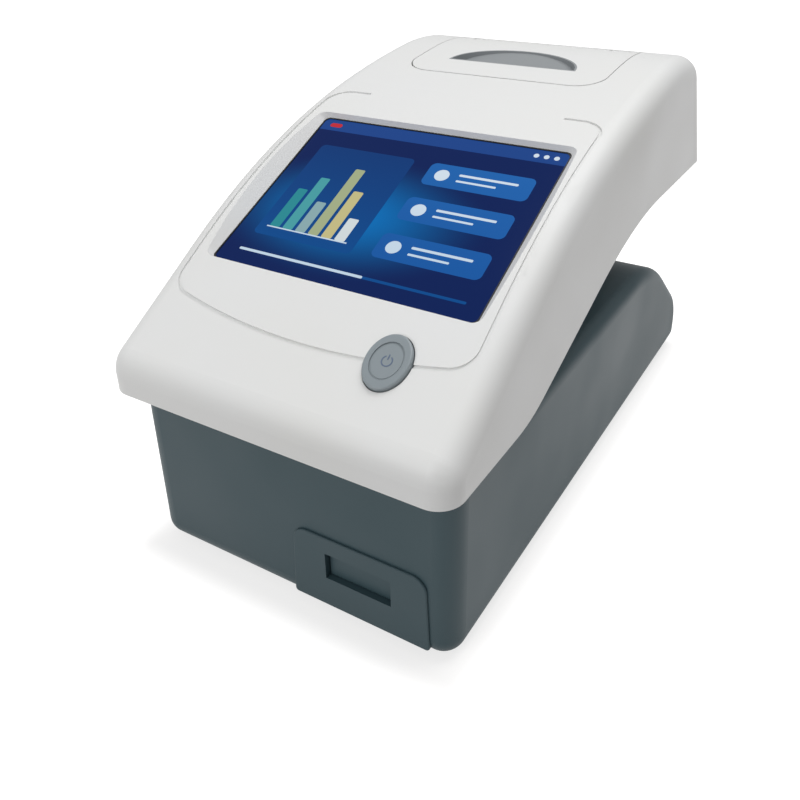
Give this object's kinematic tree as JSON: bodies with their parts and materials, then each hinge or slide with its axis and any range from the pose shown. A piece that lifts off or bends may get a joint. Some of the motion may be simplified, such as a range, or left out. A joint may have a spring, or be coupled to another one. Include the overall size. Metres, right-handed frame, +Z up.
{
  "type": "urine analyzer",
  "caption": "Bench-top urine strip analyzer with a tilted touch screen, power button, thermal printer under a lift-up door and a motor-driven strip platform sliding out of its base.",
  "frame": {"origin": "middle of the footprint, on the surface that the rubber feet stand on", "axes": "+X to the right as seen by the user, +Y to the back, +Z up"},
  "size_m": [0.1464, 0.29, 0.1772],
  "materials": {
    "white_housing": "fine texture, white",
    "switch_black": "satin",
    "screen_glass": "smooth, switched-off display",
    "display_case": "rolled sheet",
    "sheet_steel": "zinc-coated sheet",
    "button_grey": "satin",
    "board_green": "solder mask",
    "recess_grey": "fine texture, mid grey",
    "steel": "ground",
    "frame_black": "moulded",
    "paper": "uncoated paper, white",
    "core_card": "card",
    "roller_rubber": "ground",
    "gear_white": "natural acetal",
    "motor_steel": "plated can",
    "head_ceramic": "glazed ceramic",
    "sink_aluminium": "extruded",
    "grey_base": "fine texture, blue-grey",
    "foot_rubber": "matt",
    "grey_platform": "smooth, easy to wipe, blue-grey",
    "insert_grey": "smooth, easy to wipe",
    "pad_white": "white reference",
    "rail_white": "slippery plastic",
    "head_black": "light-tight matt black",
    "clear_window": "clear",
    "lamp_clear": "clear lamp body",
    "chip_black": "moulded",
    "cell_steel": "plated cell",
    "port_black": "moulded",
    "port_steel": "nickel plated",
    "brass": "turned",
    "screw_steel": "zinc-coated"
  },
  "bodies": {
    "case": {"upper_housing": "white_housing", "under_cover": "white_housing", "display_gasket": "switch_black", "touch_glass": "screen_glass", "display_module": "display_case", "display_bracket": "sheet_steel", "button_switch": "switch_black", "button_board": "board_green", "door_hinge_pin": "steel", "paper_bay": "frame_black", "printer_frame": "sheet_steel", "printer_motor": "motor_steel", "print_head": "head_ceramic", "head_heat_sink": "sink_aluminium", "tear_bar": "sheet_steel", "base_housing": "grey_base", "bottom_cover": "grey_base", "rubber_feet": "foot_rubber", "tray_panel": "grey_base", "rear_panel": "frame_black", "transport_frame": "frame_black", "guide_rails": "rail_white", "drive_motor": "motor_steel", "home_sensor": "switch_black", "read_head": "head_black", "read_head_window": "clear_window", "read_head_lamps": "lamp_clear", "sensor_board": "board_green", "main_board": "board_green", "board_chips": "chip_black", "backup_cell": "cell_steel", "buzzer": "switch_black", "power_inlet": "port_black", "serial_port": "port_steel", "jackscrews": "brass", "usb_sockets": "port_steel", "case_screws": "screw_steel", "small_screws": "screw_steel"},
    "strip_carriage": {"strip_platform": "grey_platform", "strip_insert": "insert_grey", "reference_pad": "pad_white", "platform_rack": "rail_white"},
    "drive_axle": {"reduction_gear": "gear_white", "drive_pinion": "gear_white", "pinion_axle": "steel"},
    "motor_rotor": {"motor_pinion": "gear_white"},
    "door": {"printer_door": "white_housing", "finger_recess": "recess_grey"},
    "roll": {"paper_roll": "paper", "paper_core": "core_card", "paper_spindle": "frame_black"},
    "platen": {"platen_roller": "roller_rubber", "platen_shaft": "steel", "platen_gear": "gear_white"},
    "idler": {"idler_gear": "gear_white"},
    "printer_rotor": {"printer_pinion": "gear_white"},
    "button": {"power_button": "button_grey", "switch_plunger": "switch_black"}
  },
  "joints": [
    {"name": "platform_slide", "type": "slide", "parent": "case", "child": "strip_carriage", "axis": [0, -1, 0], "range_m": [0, 0.105]},
    {"name": "drive_axle_spin", "type": "hinge", "parent": "case", "child": "drive_axle", "pos_m": [0.02, -0.095, 0.01561], "axis": [1, 0, 0], "range_deg": [-5, 1260]},
    {"name": "motor_spin", "type": "hinge", "parent": "case", "child": "motor_rotor", "pos_m": [0.006, -0.08643, 0.02076], "axis": [1, 0, 0], "range_deg": [-2940, 12]},
    {"name": "door_hinge", "type": "hinge", "parent": "case", "child": "door", "pos_m": [0, 0.0856, 0.17366], "axis": [-1, 0, 0], "range_deg": [0, 90]},
    {"name": "roll_spin", "type": "hinge", "parent": "case", "child": "roll", "pos_m": [0, 0.0616, 0.1463], "axis": [1, 0, 0], "continuous": true},
    {"name": "platen_spin", "type": "hinge", "parent": "case", "child": "platen", "pos_m": [0, 0.0331, 0.1598], "axis": [1, 0, 0], "continuous": true},
    {"name": "idler_spin", "type": "hinge", "parent": "case", "child": "idler", "pos_m": [0.0378, 0.0276, 0.15027], "axis": [1, 0, 0], "continuous": true},
    {"name": "printer_motor_spin", "type": "hinge", "parent": "case", "child": "printer_rotor", "pos_m": [0.035, 0.02194, 0.14462], "axis": [1, 0, 0], "continuous": true},
    {"name": "button_press", "type": "slide", "parent": "case", "child": "button", "axis": [0, 0.5446, -0.8387], "range_m": [0, 0.001], "stiffness_N_per_m": 1500, "springref_m": -0.0003}
  ],
  "couplings": [
    {"joint": "drive_axle_spin", "follows": "platform_slide", "rad_per_m": 208.33},
    {"joint": "motor_spin", "follows": "platform_slide", "rad_per_m": -486.11},
    {"joint": "idler_spin", "follows": "platen_spin", "ratio": -1.2},
    {"joint": "printer_motor_spin", "follows": "platen_spin", "ratio": 2}
  ]
}
